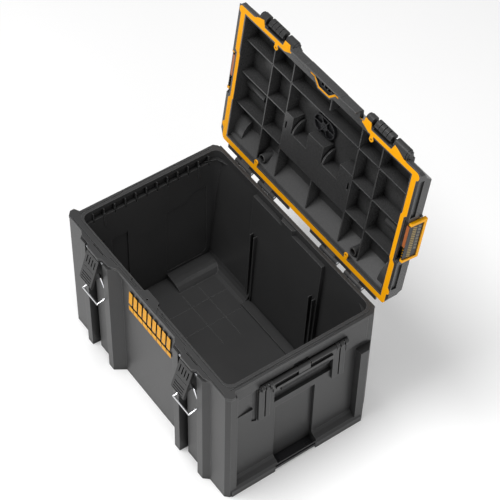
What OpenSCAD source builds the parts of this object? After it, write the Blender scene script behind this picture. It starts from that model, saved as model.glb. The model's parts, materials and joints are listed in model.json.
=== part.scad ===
// Hard-sided tool box: a deep moulded tub and a ribbed lid, standing open.
// X runs along the front, the front faces -Y, Z is up, and the origin is the
// middle of the ground face. Sizes are in millimetres and angles in degrees.

/* [Tub] */
// Length over the corner posts
tub_length = 548; // [500:1:620]
// Height from the ground to the rim plate
tub_height = 325.2; // [300:0.1:380]
// Depth of the opening from front to back
opening_depth = 326.6; // [300:0.1:380]
// Thickness of the floor
floor_skin = 4.5; // [3:0.5:8]
// Gap under the floor, inside the ground ring
floor_lift = 4; // [2:0.5:6]
// Width of the ground ring and of the ribs under the floor
ground_rib = 14; // [8:1:20]
// Thickness of the hidden skins around the hollow ribs and posts
skin = 3.2; // [2.4:0.1:3.6]
// Corner radius of the tub inside
inner_corner = 18; // [12:0.5:22]
// Radius of the lower back edge
back_round = 26; // [20:0.5:28]

/* [Walls] */
// Thickness of the front wall at the badge field
front_wall = 5.2; // [4.5:0.1:7]
// Thickness of the back wall
back_wall = 4.7; // [4:0.1:7]
// Overall thickness of the double end wall
end_wall = 11.5; // [10:0.1:14]
// Thickness of the end wall above the inside ledge
top_wall = 7; // [6:0.1:9]
// Height of the band between the inside ledge and the rim
band_height = 24; // [20:1:36]
// Step from the corner posts back to the end panels
panel_setback = 17; // [14:0.5:20]
// Step from the corner posts back to the upper skirts
skirt_setback = 12; // [10:0.5:13]
// Step from the badge field out to the front corners
corner_step = 11.5; // [10:0.5:13]
// Width of the front posts on the end faces
post_width = 23; // [18:0.5:28]
// Chamfer on the front corners
post_chamfer = 8; // [5:0.5:10]
// Chamfer on the back corners
back_chamfer = 18; // [14:0.5:19]
// Width of the back posts on the end faces
back_post_width = 19; // [14:0.5:24]
// Height of the back posts
back_post_height = 229; // [200:1:240]
// Height of the lower edge of the upper skirts
skirt_bottom = 250; // [244:1:262]
// Lower edge of the front upper skirts
front_skirt = 229; // [222:1:240]
// Height of the base skirts on the end faces
base_height = 22; // [18:0.5:26]
// Height where the base skirts meet the end panels
base_blend = 31; // [27:0.5:44]
// Step of the base skirts beyond the corner posts
base_proud = 2.5; // [1:0.1:3]

/* [Latch bays] */
// Distance between the two front latches
latch_spacing = 320; // [290:1:340]
// Step from the badge field out to the face between the ribs
seat_step = 10; // [8:0.5:11]
// Step from the badge field out to the rib fronts
rib_step = 22.5; // [21:0.5:24]
// Half width of the face between the ribs
seat_half = 19.5; // [17:0.5:20]
// Half width to the inner edge of the bail slots
slot_in = 21.5; // [20.5:0.5:22]
// Half width to the outer edge of the bail slots
slot_out = 30; // [29.5:0.5:31]
// Step from the badge field out to the bail slot floor
slot_step = 2; // [1:0.5:4]
// Half width to the outer edge of the ribs
rib_half = 48; // [44:0.5:52]
// Run of the slope beside each rib
rib_run = 15; // [10:0.5:18]
// Half width of the lever pocket
pocket_half = 25; // [24:0.5:28]
// Step of the lever pocket floor into the wall
pocket_step = 0.5; // [0:0.1:1]
// Depth of the lever pocket below the rim
pocket_drop = 85; // [78:1:92]
// Rise of the sloped bottom of the lever pocket
pocket_slope = 14; // [8:1:18]

/* [End faces] */
// Front edge of the bottom channel on the end panels
channel_front = 58; // [50:1:62]
// Back edge of the bottom channel on the end panels
channel_back = 36; // [30:1:42]
// Depth of the bottom channel
channel_depth = 8; // [5:0.5:8]
// Height of the top of the bottom channel
channel_top = 189; // [170:1:196]
// Front edge of the base notch
notch_front = 65; // [62:1:68]
// Back edge of the base notch
notch_back = 33; // [26:1:36]
// Height of the base notch
notch_height = 18; // [14:0.5:20]
// Height of the stacking bar in the base notch
bar_height = 6; // [4:0.5:7]
// Height of the stacking bar above the ground
bar_lift = 6; // [4:0.5:8]
// Depth of the stacking bar
bar_depth = 25; // [20:0.5:26]

/* [Handles] */
// Height of the handle axis
handle_axis_z = 289; // [286:0.5:292]
// Step of the handle axis back from the corner posts
handle_axis_setback = 9; // [8:0.5:9.5]
// Radius of the handle barrel
barrel_radius = 6; // [5:0.1:6.3]
// Radius of the handle rods
handle_rod_radius = 2.5; // [2:0.1:3]
// Front end of the handle
handle_front = 73.5; // [66:0.5:74]
// Back end of the handle
handle_back = 71.5; // [64:0.5:72]
// Outer end of each handle knuckle from the middle
knuckle_end = 100; // [94:1:101]
// Gap between a knuckle and the handle
knuckle_gap = 0.8; // [0.4:0.1:1.5]
// Radius of the handle knuckles
knuckle_radius = 7; // [6:0.1:7.5]
// Lower end of the handle bracket plates
bracket_bottom = 184; // [176:1:190]
// Upper end of the handle bracket plates
bracket_top = 280; // [270:1:281]
// Front edge of the handle pocket
pocket_front = 61; // [56:1:61.5]
// Back edge of the handle pocket
pocket_back = 74; // [66:1:75]
// Lower edge of the handle pocket
finger_bottom = 207; // [200:1:212]
// Half length of the handle grip
grip_half = 55; // [46:1:56]
// Thickness of the handle grip
grip_skin = 8; // [6:0.5:9]
// Height of the grip underside
grip_bottom = 256; // [246:1:257]
// Height of the handle bar
handle_bar_z = 268; // [262:1:270]
// Thickness of the handle bar
handle_bar = 7; // [4:0.5:9]
// Reach of the handle bar beyond the handle axis
handle_reach = 6; // [4:0.5:7]
// Front edge of the middle tab
tab_front = 16; // [12:1:18]
// Back edge of the middle tab
tab_back = 11; // [8:1:14]
// Width of the slots in the bracket plates
bracket_slot = 3; // [2:0.5:4]

/* [Rim] */
// Thickness of the rim plate
rim_plate = 6.2; // [5:0.1:8]
// Reach of the rim beyond the upper skirts
rim_reach = 2.5; // [1:0.1:3]
// Step from the badge field out to the rim front
rim_step = 9; // [8:0.5:10]
// Step from the badge field out to the latch plates
plate_step = 19; // [17:0.5:20]
// Step from the badge field out to the latch tongues
tongue_step = 25; // [23:0.5:26]
// Half width of the latch plates
plate_half = 46; // [42:0.5:50]
// Half width of the latch tongues
tongue_half = 18; // [16:0.5:20]
// Height of the raised lip around the opening
lip_height = 1.5; // [1:0.1:1.6]
// Width of the raised lip
lip_width = 6; // [4:0.1:6.5]
// Width of the groove outside the lip
groove_width = 2.6; // [2:0.1:3]
// Depth of the groove outside the lip
groove_depth = 2.4; // [1:0.1:3]
// Pitch of the small ribs on the end walls inside
comb_pitch = 25; // [22:0.5:30]
// Thickness of the small ribs inside
comb_rib = 2; // [1.5:0.1:3]
// Height of the foot on the tub floor at the left end
plinth_height = 14; // [10:1:20]
// Width of that foot
foot_width = 50; // [40:1:60]
// Step of the back wall foot into the opening
back_foot = 25.3; // [18:0.1:28]
// Depth of the shelves near the top of the back wall
back_shelf = 8.3; // [6:0.1:10]
// Drop of those shelves below the rim
shelf_drop = 16; // [14:0.5:20]
// Depth of the low step along the back wall
back_ledge = 21; // [14:0.5:24]
// Height of the low step along the back wall
back_ledge_height = 3.5; // [2:0.5:5]
// Reach of the paired ribs on the back wall
pair_reach = 8; // [5:0.5:10]
// Depth of the cells between the small ribs on the end walls
comb_depth = 9; // [6:0.5:10]
// Depth of the recess in the end walls inside
wall_recess = 4; // [2:0.5:4.5]
// Half width of the clasp tab on the front rim
clasp_half = 34.5; // [30:0.5:36]
// Reach of the clasp tab into the opening
clasp_reach = 6.5; // [4:0.5:8]
// Height of the top of the recess in the end walls
tall_groove = 220; // [190:1:230]
// Depth of the panels in the end walls
wall_groove = 1.4; // [0.8:0.1:2]

/* [Hinge] */
// Distance of the hinge axis behind the back wall
hinge_reach = 10.5; // [10:0.1:12]
// Step of the hinge axis below the rim plate
hinge_drop = 0.2; // [0:0.1:0.5]
// Radius of the hinge knuckles
hinge_radius = 5.5; // [5:0.1:5.8]
// Radius of the hinge rods
hinge_rod_radius = 2.5; // [2:0.1:2.8]
// Inner end of the inner hinges
hinge_inner = 77; // [70:1:80]
// Inner end of the outer hinges
hinge_outer = 154; // [148:1:160]
// Length of each hinge
hinge_length = 51; // [46:1:54]
// Length of each end knuckle of a hinge
hinge_end = 12; // [10:0.5:14]
// Gap between the knuckles
hinge_gap = 0.6; // [0.4:0.1:1]
// Reach of the back rim behind the back wall
hinge_rim = 4; // [3:0.1:4]
// Inner end of the strips between the lid and the hinges
leaf_inner = 35; // [30:1:40]
// Outer end of those strips
leaf_outer = 241; // [230:1:244]
// Angle of the open lid
lid_open = 97.6; // [90:0.1:110]

/* [Lid] */
// Half length of the lid
lid_half = 271; // [250:0.5:305]
// Gap between the rim plate and the lid edge
lid_gap = 2.2; // [2:0.1:3]
// Height of the lid from its edge to the deck
lid_height = 42.5; // [38:0.5:50]
// Thickness of the lid walls
lid_wall = 3.4; // [2.6:0.1:4]
// Thickness of the lid deck
deck_skin = 3.6; // [3:0.1:5]
// Lean of the lid front
lid_lean = 22; // [14:0.5:26]
// Chamfer along the deck edges
deck_chamfer = 11; // [8:0.5:14]
// Run of the slope along the back of the deck
back_run = 38; // [30:0.5:40]
// Height of the lower end of that slope above the lid edge
back_edge = 9; // [7:0.5:14]
// Chamfer on the back corners of the lid
lid_corner = 20; // [14:0.5:24]
// Step of the lid back edge in front of the tub back
lid_back_set = 2; // [1:0.1:3]
// Step of the lid front edge behind the seat between the ribs
lid_front_step = 11.5; // [10:0.5:12.5]
// Thickness of the seal land
land_skin = 3.4; // [2.6:0.1:4]
// Height of the rail that frames the deck
rail_height = 6; // [3:0.5:10]
// Width of the rail that frames the deck
rail_width = 12; // [8:0.5:16]
// Half length of the rail frame
rail_half = 222; // [200:1:230]
// Height of the ribs under the deck
rib_height = 28; // [24:0.5:30]
// Thickness of the ribs under the deck
lid_rib = 2.4; // [1.8:0.1:3]
// Back edge of the raised panel under the deck
plateau_back = 73; // [64:1:80]
// Front edge of the blocks on the raised panel
plateau_front = 22; // [16:1:28]
// Edge of the notches between those blocks, behind the middle
plateau_notch = 17; // [10:1:22]
// Forward reach of the round fins in the notches
fin_reach = 30; // [20:1:34]
// Length of the vent lattice
vent_length = 62; // [50:1:66]
// Width of the vent lattice
vent_width = 40; // [32:1:42]
// Radius of the posts near the hinge
post_radius = 9; // [6:0.5:10]

/* [Seal] */
// Inner half length of the seal
seal_half = 251.5; // [240:0.5:290]
// Step of the seal inside the opening at front and back
seal_step = 8.1; // [6:0.1:10]
// Width of the seal
seal_width = 12.5; // [9:0.5:12.5]
// Thickness of the seal
seal_skin = 2; // [1.4:0.1:2]
// Inward jog of the seal beside the side latches
seal_jog = 3; // [1:0.5:4]
// Width of the seal between the catches
seal_thin = 4; // [3:0.1:5]
// Half length of the narrow part of the seal
thin_half = 104; // [99:0.5:108]
// Left end of the notch in the seal
clasp_left = 34; // [30:0.5:36]
// Right end of the notch in the seal
clasp_right = 27.5; // [26:0.5:30]
// Depth of the notch in the seal, and the run of its slanted sides
clasp_depth = 15; // [12:0.5:16]
// Radius of the pads at the corners of the seal
seal_pad = 9; // [6:0.5:9.5]
// Reach of the seal pads under the catches
seal_tab = 11; // [8:0.5:13]
// Length of the small hooks on the seal
hook_reach = 15; // [12:0.5:16]

/* [Catches] */
// Width of the lid catch blocks
catch_width = 128; // [118:1:130]
// Height of the lid catch blocks
catch_height = 18; // [18:0.5:20]
// Step of the catch fronts beyond the seat between the ribs
catch_proud = 8; // [7:0.5:11]
// Half width of the catch lugs
lug_half = 22.5; // [21:0.5:23]
// Extra reach of the catch lugs
lug_proud = 1; // [0.5:0.5:2]
// Width of the bail slots beside the catch lugs
lug_slot = 8.5; // [8:0.5:10]
// Radius of the lower front edge of the catch blocks
catch_round = 11; // [9:0.5:11]
// Radius of their upper front edge
catch_top = 6; // [4:0.5:6.5]
// Rise of the catch blocks behind the bail groove
catch_back = 6; // [4:0.5:8]
// Width of the groove that holds the bail
groove_room = 8; // [7:0.5:9]
// Height of the bail groove above the block underside
groove_lift = 10; // [9:0.1:10.2]
// Half length of the front lip of the lid
front_lip_half = 98; // [90:1:98]
// Drop of the front lip below the lid edge
front_lip_drop = 12; // [10:0.5:16]

/* [Levers] */
// Step of the lever axis beyond the seat between the ribs
lever_step = 9; // [8:0.5:10]
// Drop of the lever axis below the rim plate
lever_drop = 12.2; // [12:0.1:14]
// Length of the levers
lever_length = 70.7; // [64:0.1:74]
// Width of the levers
lever_width = 41; // [36:0.5:42]
// Thickness of the levers
lever_skin = 6; // [5:0.5:7]
// Radius of the lever barrels
lever_barrel = 5; // [4.5:0.1:5.5]
// Radius of the lever pins
lever_pin_radius = 2; // [1.6:0.1:2.4]
// Outward tilt of the hanging levers
lever_tilt = 18.6; // [12:0.1:22]
// Distance of the bail holes below the lever axis
bail_drop = 40.6; // [36:0.1:44]
// Step of the bail holes behind the lever axis
bail_inset = 7.9; // [7:0.1:8.5]
// Radius of the bail wire
wire_radius = 2; // [1.6:0.1:2.2]
// Width of the bails between wire centres
bail_width = 52; // [51:0.5:53]
// Drop of the bail bends below the bail holes
bend_drop = 64; // [60:0.5:68]
// Step of the bail bends behind the bail holes
bend_in = 13; // [10:0.5:14]
// Drop of the bail bars below the bail holes
bar_drop = 70; // [66:0.5:74]
// Step of the bail bars in front of the bail holes
bar_out = 12.5; // [10:0.5:14]

// Swell of the bail wire at its bends
bend_swell = 0.15; // [0.1:0.01:0.3]

/* [Side latches] */
// Front end of the side latches
side_front = 50; // [44:1:52]
// Back end of the side latches
side_back = 48; // [42:1:50]
// Outer face of the side latches beyond the lid ends
side_proud = 6; // [4:0.5:8]
// Thickness of the side latch frames
side_skin = 7; // [5:0.5:8]
// Height of the side latch frames
side_height = 38; // [32:0.5:40]
// Lift of the side latch frames above the lid edge
side_lift = 4.6; // [4:0.1:6]
// Border of the side latch frames
side_border = 6; // [4:0.5:8]
// Step of the side latch axis inside the lid ends
side_axis_step = 3; // [2:0.5:3.5]
// Lift of the side latch axis above the lid edge
side_axis_lift = 12.6; // [11:0.1:14]
// Radius of the side latch pins
side_pin_radius = 1.5; // [1.2:0.1:1.8]
// Depth of the side latch recesses in the lid ends
side_recess = 9; // [8:0.5:10]

/* [Fits] */
// Radial play of a turning rod or pin
run_play = 0.05; // [0.02:0.01:0.08]
// Radial play of a rod in the parts that hold it
hold_play = 0.02; // [0.01:0.01:0.04]
// Side gap between pieces that swing past each other
side_gap = 0.8; // [0.4:0.1:1.5]

/* [Hidden] */

// cut is how far a cutter runs past the face it opens; fine is the facet count of round parts
cut = 1;
fine = 48;

// planes of the tub, named from the middle outward
post_x = tub_length / 2;
skirt_x = post_x - skirt_setback;
panel_x = post_x - panel_setback;
cavity_x = panel_x - end_wall;
band_x = panel_x - top_wall;
cavity_y = opening_depth / 2;
front_y = -cavity_y - front_wall;
seat_y = front_y - seat_step;
rib_y = front_y - rib_step;
corner_y = front_y - corner_step;
slot_y = front_y - slot_step;
back_y = cavity_y + back_wall;
lx = latch_spacing / 2;
floor_z = floor_lift + floor_skin;
plate_z = tub_height - rim_plate;
band_z = tub_height - band_height;

// hinge axis, handle axis and lever axis
hinge_y = back_y + hinge_reach;
hinge_z = tub_height - hinge_drop;
handle_x = post_x - handle_axis_setback;
gap_y1 = -knuckle_end - 2 * knuckle_gap;
gap_y0 = gap_y1 - knuckle_radius * 1.6;
lever_y = seat_y - lever_step;
lever_z = tub_height - lever_drop;

// planes of the lid as if closed
edge_z = tub_height + lid_gap;
deck_z = edge_z + lid_height;
under_z = deck_z - deck_skin;
lid_back_y = back_y - lid_back_set;
lid_front_y = seat_y + lid_front_step;
rib_low_z = under_z - rib_height;
land_z = edge_z + seal_skin;
seal_y = cavity_y - seal_step;

// planes of the leaning back wall and of the cells in the end walls
foot_y = cavity_y - back_foot;
shelf_y = cavity_y - back_shelf;
shelf_z = tub_height - shelf_drop;
cell_x = cavity_x + comb_depth;

module mirror_x() { mirror([1, 0, 0]) children(); }
module both() { children(); mirror_x() children(); }
function mirrored(p) = [for (i = [len(p) - 1:-1:0]) [-p[i][0], p[i][1]]];
module slab(p, z0, z1) { translate([0, 0, z0]) linear_extrude(z1 - z0) polygon(p); }
module two_sided(p, z0, z1) { slab(concat(p, mirrored(p)), z0, z1); }
module block(x0, x1, y0, y1, z0, z1) {
  translate([x0, y0, z0]) cube([x1 - x0, y1 - y0, z1 - z0]);
}
// a polygon of [y, z] points carried along X from x0 to x1
module along_x(p, x0, x1) {
  translate([x0, 0, 0]) rotate([90, 0, 90]) linear_extrude(x1 - x0) polygon(p);
}
// a polygon of [x, z] points carried along Y from y0 to y1
module along_y(p, y0, y1) {
  translate([0, y1, 0]) rotate([90, 0, 0]) linear_extrude(y1 - y0) polygon(p);
}
module rod_x(r, x0, x1, y, z) {
  translate([x0, y, z]) rotate([0, 90, 0]) cylinder(r = r, h = x1 - x0, $fn = fine);
}
module rod_y(r, y0, y1, x, z) {
  translate([x, y0, z]) rotate([-90, 0, 0]) cylinder(r = r, h = y1 - y0, $fn = fine);
}
module rounded_well(x, y, r, z0, z1) {
  block(-x + r, x - r, -y, y, z0, z1);
  block(-x, x, -y + r, y - r, z0, z1);
  for (sx = [-1, 1], sy = [-1, 1]) translate([sx * (x - r), sy * (y - r), z0])
    cylinder(r = r, h = z1 - z0, $fn = fine);
}

// plans of the tub, half of each, mirrored left to right

function bay(out) = [[lx - rib_half - rib_run, front_y], [lx - rib_half, rib_y],
  [lx - slot_out - skin / 3, rib_y], [lx - slot_out, slot_y], [lx - slot_in, slot_y],
  [lx - seat_half, seat_y], [lx + seat_half, seat_y], [lx + slot_in, slot_y],
  [lx + slot_out, slot_y], [lx + slot_out + skin / 3, rib_y], [lx + rib_half, rib_y],
  [lx + rib_half + rib_run * out, corner_y]];
tub_plan = concat(bay(2 / 3), [[post_x - post_chamfer, corner_y],
  [post_x, corner_y + post_chamfer], [post_x, corner_y + post_width],
  [panel_x, corner_y + post_width], [panel_x, back_y]]);
skirt_plan = [[skirt_x - post_width, corner_y + post_width], [skirt_x, corner_y + post_width],
  [skirt_x, back_y - back_chamfer], [skirt_x - back_chamfer, back_y]];
back_post_plan = [[panel_x - skin, back_y - back_chamfer - back_post_width],
  [post_x, back_y - back_chamfer - back_post_width], [post_x, back_y - back_chamfer],
  [post_x - back_chamfer, back_y], [panel_x - skin, back_y]];
rim_front_y = front_y - rim_step;
plate_y = front_y - plate_step;
tongue_y = front_y - tongue_step;
rim_x = skirt_x + rim_reach;
rim_plan = [[lx - plate_half - rib_run, rim_front_y], [lx - plate_half, plate_y],
  [lx - tongue_half - lip_width, plate_y], [lx - tongue_half, tongue_y],
  [lx + tongue_half, tongue_y], [lx + tongue_half + lip_width, plate_y],
  [lx + plate_half, plate_y], [lx + plate_half + rib_run, corner_y - lip_height / 2],
  [post_x - post_chamfer, corner_y - lip_height / 2], [post_x + lip_height, corner_y + post_chamfer],
  [post_x + lip_height, corner_y + post_width - lip_width], [rim_x, corner_y + post_width],
  [rim_x, back_y - post_chamfer], [rim_x - post_chamfer, back_y]];
rib_core = [[lx - rib_half - rib_run / 2, -cavity_y - skin], [lx - rib_half + skin / 2, rib_y + skin],
  [lx - slot_out - skin * 1.4, rib_y + skin], [lx - slot_out - skin, -cavity_y - skin]];
corner_core = [[lx + slot_out + skin, -cavity_y - skin], [lx + slot_out + skin * 1.4, rib_y + skin],
  [lx + rib_half - skin / 2, rib_y + skin], [lx + rib_half + rib_run / 2, corner_y + skin],
  [post_x - post_chamfer - skin / 2, corner_y + skin], [post_x - skin, corner_y + post_chamfer],
  [post_x - skin, corner_y + post_width - skin], [panel_x - skin, corner_y + post_width - skin],
  [panel_x - skin, -cavity_y - skin]];
seat_core = [[lx - seat_half + skin, -cavity_y - skin], [lx - seat_half + skin, seat_y + skin],
  [lx + seat_half - skin, seat_y + skin], [lx + seat_half - skin, -cavity_y - skin]];
post_core = [[panel_x - skin, back_y - back_chamfer - back_post_width + skin],
  [post_x - skin, back_y - back_chamfer - back_post_width + skin],
  [post_x - skin, back_y - back_chamfer - skin / 2], [post_x - back_chamfer - skin / 2, back_y - skin],
  [panel_x - skin, back_y - skin]];
pocket_z = tub_height - pocket_drop;
base_foot = [[panel_x - skin, 0], [post_x + base_proud, 0],
  [post_x + base_proud, base_height - 2 * skin], [post_x - skin / 2, base_height],
  [skirt_x, (base_height + base_blend) / 2], [panel_x, base_blend], [panel_x - skin, base_blend]];
base_front = [[post_x - post_chamfer - skin, 0], [post_x + base_proud, 0],
  [post_x + base_proud, base_height - 2 * skin], [post_x - skin / 2, base_height],
  [post_x - post_chamfer - skin, base_height]];

module tub_outside() {
  two_sided(concat(tub_plan), 0, plate_z);
  two_sided(rim_plan, plate_z, tub_height);
  both() {
    slab(skirt_plan, skirt_bottom, plate_z);
    block(panel_x - cut, skirt_x, corner_y + skin, gap_y1, front_skirt, skirt_bottom + cut);
    slab(back_post_plan, 0, back_post_height);
    along_y(base_foot, corner_y + post_width - skin, back_y - back_chamfer - back_post_width + skin);
    along_y(base_front, corner_y + post_chamfer + skin, corner_y + post_width);
    along_y(base_front, back_y - back_chamfer - back_post_width, back_y - back_chamfer - skin);
    for (x0 = [hinge_inner, hinge_outer]) {
      hinge_lug(x0, x0 + hinge_end);
      hinge_lug(x0 + hinge_length - hinge_end, x0 + hinge_length);
    }
  }
  // rim behind the back wall, up to the hinge knuckles
  block(-leaf_outer - 2 * lip_width, leaf_outer + 2 * lip_width, back_y - cut, back_y + hinge_rim,
    plate_z, tub_height);
  // clasp tab in the middle of the front rim
  clasp_y = front_y - rim_step + lip_height;
  slab([[-clasp_half, clasp_y], [clasp_half, clasp_y], [clasp_half * 0.62, -cavity_y],
    [clasp_half / 2, -cavity_y + clasp_reach], [-clasp_half * 0.62, -cavity_y + clasp_reach],
    [-clasp_half * 0.72, -cavity_y]], plate_z, tub_height + lip_height);
  // raised lip around the opening
  rounded_well(band_x + lip_width, cavity_y + lip_width / 2, inner_corner, plate_z,
    tub_height + lip_height);
}
module hinge_lug(x0, x1) {
  rod_x(hinge_radius, x0, x1, hinge_y, hinge_z);
  along_x([[back_y - cut, hinge_z - hinge_radius * 3], [back_y, hinge_z - hinge_radius * 3],
    [hinge_y, hinge_z - hinge_radius], [hinge_y, hinge_z], [back_y - cut, hinge_z]], x0, x1);
}
// shares of the opening depth where the groove beside the lip steps outward and back
groove_shares = [-1, -0.4, -0.35, 0.41, 0.46, 0.9];
groove_steps = [0, 0, 1, 1, 0, 0];
function groove_line(x) = concat(
  [for (i = [0:5]) [x + groove_steps[i] * groove_width, groove_shares[i] * cavity_y]],
  [for (i = [5:-1:0]) [x + (groove_steps[i] + 1 / 2) * groove_width, groove_shares[i] * cavity_y]]);
// shares of the opening depth and tub height for the outline of the panel in the end walls
panel_shares = [[0.19, 0.092], [0.19, 0.667], [0.484, 0.667], [0.606, 0.729], [0.8, 0.729],
  [0.8, 0.135], [0.735, 0.092]];
// shares of the floor where shallow lines begin, cross and end near the left end
grid_shares = [[-0.76, -0.61, -0.37, -0.14], [-0.3, 0.17, 0.435, 0.7]];
// the hollow behind the leaning back wall, open at the back and at the ground
module back_recess(x0, x1, foot, top) {
  along_x([[foot + back_wall, -cut], [foot + back_wall, floor_z], [top + back_wall, shelf_z - skin],
    [back_y + cut, shelf_z - skin], [back_y + cut, -cut]], x0, x1);
}
module tub_cuts() {
  rounded_well(cavity_x, cavity_y, inner_corner, floor_z, band_z);
  back_recess(-cavity_x, shelf_x0, foot_y, cavity_y);
  back_recess(shelf_x0, shelf_x1 - skin, foot_y, shelf_y);
  back_recess(shelf_x1 - skin, cavity_x, foot_y + back_shelf, cavity_y);
  difference() {
    rounded_well(band_x, cavity_y, inner_corner, band_z, tub_height + lip_height + cut);
    slab([[clasp_half * 0.62, -cavity_y - cut], [clasp_half / 2, -cavity_y + clasp_reach],
      [-clasp_half * 0.62, -cavity_y + clasp_reach], [-clasp_half * 0.72, -cavity_y - cut]],
      plate_z, tub_height + lip_height + 2 * cut);
  }
  // hole in the clasp tab, slots beside it and the groove around the lip
  translate([-groove_width, front_y - groove_width, plate_z + skin])
    cylinder(r = groove_width * 0.8, h = rim_plate, $fn = fine);
  for (x = [-clasp_half * 1.8, clasp_half * 1.2]) {
    block(x, x + clasp_half * 0.6, front_y - groove_width / 2, front_y, tub_height - groove_depth,
      tub_height + lip_height + cut);
    block(x, x + comb_rib * 0.7, front_y - groove_width / 2, front_y + 2 * comb_rib,
      tub_height - groove_depth, tub_height + lip_height + cut);
  }
  both() {
    block(clasp_half + lip_width, lx - pocket_half - lip_width, front_y - lip_width * 0.7,
      front_y - lip_width * 0.45, tub_height - groove_depth / 2, tub_height + cut);
    block(lx - pocket_half - lip_width, post_x - 2 * post_chamfer, seat_y, seat_y + groove_width / 2,
      tub_height - groove_depth / 2, tub_height + cut);
    slab(groove_line(band_x + lip_width + groove_width / 2), tub_height - groove_depth / 2,
      tub_height + cut);
    // slots on top of the rim between and beside the hinges
    for (x0 = [hinge_inner, hinge_outer + hinge_end]) block(x0, x0 + hinge_length * 0.65, back_y,
      back_y + comb_rib / 2, tub_height - groove_depth / 2, tub_height + cut);
  }
  // hollow ribs, posts and end walls, open at the ground
  both() {
    slab(rib_core, -cut, plate_z - 4 * skin);
    slab(corner_core, -cut, plate_z - 4 * skin);
    slab(seat_core, -cut, pocket_z - 3 * skin);
    slab(post_core, -cut, back_post_height - skin);
    for (y = [[corner_y + post_width, gap_y0 - skin],
        [channel_back + skin, back_y - back_chamfer - back_post_width]])
      block(panel_x - channel_depth, panel_x - skin, y[0], y[1], -cut, channel_top);
    // lever pockets with a sloped bottom
    along_x([[rib_y - cut, pocket_z], [seat_y, pocket_z], [front_y + pocket_step, pocket_z + pocket_slope],
      [front_y + pocket_step, plate_z], [rib_y - cut, plate_z]], lx - pocket_half, lx + pocket_half);
    rod_x(lever_pin_radius + hold_play, lx - slot_out - 2 * skin, lx + slot_out + 2 * skin,
      lever_y, lever_z);
    // bottom channel and base notch on the end panels
    block(panel_x - channel_depth, post_x, -channel_front, channel_back, -cut, channel_top);
    block(panel_x - channel_depth, post_x + base_proud + cut, -notch_front, notch_back,
      -cut, notch_height);
    // upright gap beside the handle bracket
    along_x([[gap_y0, bracket_bottom + bracket_slot], [gap_y1, bracket_bottom - bracket_slot],
      [gap_y1, handle_axis_z], [gap_y0, handle_axis_z]], cell_x, post_x);
    // slanted recess in the front skirts
    slab([[skirt_x, corner_y + post_width], [post_x, corner_y + post_width], [post_x, gap_y1],
      [panel_x - skin / 2, gap_y1]], front_skirt + skin, handle_axis_z - skin);
    // handle pocket and the cut in the upper skirt around the handle
    block(panel_x - channel_depth, post_x, -pocket_front, pocket_back, finger_bottom,
      handle_axis_z - skin);
    block(panel_x, post_x, gap_y1, -gap_y1, skirt_bottom - cut,
      handle_axis_z);
    rod_y(knuckle_radius + knuckle_gap, gap_y1, -gap_y1, handle_x, handle_axis_z);
    block(skirt_x - skin, post_x, -tab_front - knuckle_radius, tab_back, handle_axis_z,
      handle_axis_z + 2 * knuckle_radius);
    for (x0 = [hinge_inner, hinge_outer])
      rod_x(hinge_rod_radius + hold_play, x0 - cut, x0 + hinge_length + cut, hinge_y, hinge_z);
    // thin slot in the latch plate
    block(lx - tongue_half, lx + tongue_half, plate_y + 2 * skin, plate_y + 3 * skin - groove_width / 2,
      tub_height - groove_depth, tub_height + cut);
  }
  both() {
    // cells and notches between the small ribs of the end walls
    for (i = [0:comb_count]) {
      y = (i - comb_count / 2) * comb_pitch;
      if (i < comb_count) block(cavity_x - cut, cell_x, y + comb_rib / 2, y + comb_pitch - comb_rib / 2,
        band_z, plate_z - comb_rib);
      block(cavity_x - cut, cavity_x + comb_rib, y - comb_rib * 0.8, y + comb_rib * 0.8,
        band_z - 4 * comb_rib, band_z);
    }
    // raised edge of the back panel, recess with an upright edge, and a round mark
    along_x([for (q = panel_shares) [q[0] * cavity_y, q[1] * tub_height]], cavity_x - cut,
      cavity_x + wall_groove);
    block(cavity_x - cut, cavity_x + wall_recess, gap_y1 + comb_rib, -channel_front - skin, floor_z,
      tall_groove);
    rod_x(lip_width / 2, cavity_x - cut, cavity_x + wall_groove, gap_y0 - lip_width,
      tall_groove + lip_width);
  }
  // shallow lines and a round mark on the floor
  for (i = [1, 2]) {
    block(grid_shares[0][0] * cavity_x, grid_shares[0][3] * cavity_x, grid_shares[1][i] * cavity_y,
      grid_shares[1][i] * cavity_y + comb_rib / 2, floor_z - wall_groove / 3, floor_z + cut);
    block(grid_shares[0][i] * cavity_x, grid_shares[0][i] * cavity_x + comb_rib / 2,
      grid_shares[1][0] * cavity_y, grid_shares[1][3] * cavity_y, floor_z - wall_groove / 3, floor_z + cut);
  }
  // round lower back edge
  difference() {
    block(-post_x - 2 * base_proud, post_x + 2 * base_proud, back_y - back_round, back_y + cut,
      -cut, back_round);
    rod_x(back_round, -post_x - 3 * base_proud, post_x + 3 * base_proud, back_y - back_round,
      back_round);
  }
  // space under the floor, inside the ground ring
  for (sx = [-1, 1], sy = [-1, 1]) scale([sx, sy, 1])
    block(ground_rib / 2, cavity_x - ground_rib, ground_rib / 2, cavity_y - ground_rib - back_round,
      -cut, floor_lift);
}
comb_count = floor((2 * (cavity_y - inner_corner)) / comb_pitch);
// a piece of the leaning back wall, given by its inner face at the floor and at the shelf
module back_part(x0, x1, foot, top, off) {
  along_x([[foot, floor_lift], [foot, floor_z], [top, shelf_z], [top + off, shelf_z],
    [foot + off, floor_z], [foot + off, floor_lift]], x0, x1);
}
// shares of the cavity half length where the shelves begin and end
shelf_shares = [-0.47, -0.1, 0.06, 0.45];
shelf_x0 = shelf_shares[0] * cavity_x;
shelf_x1 = shelf_shares[3] * cavity_x;
// shares of the width and height of the foot at the left end, along its rounded side
foot_shares = [[0, 1], [0.42, 0.95], [0.62, 0.84], [0.8, 0.6], [0.92, 0.3], [1, 0]];
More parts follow.
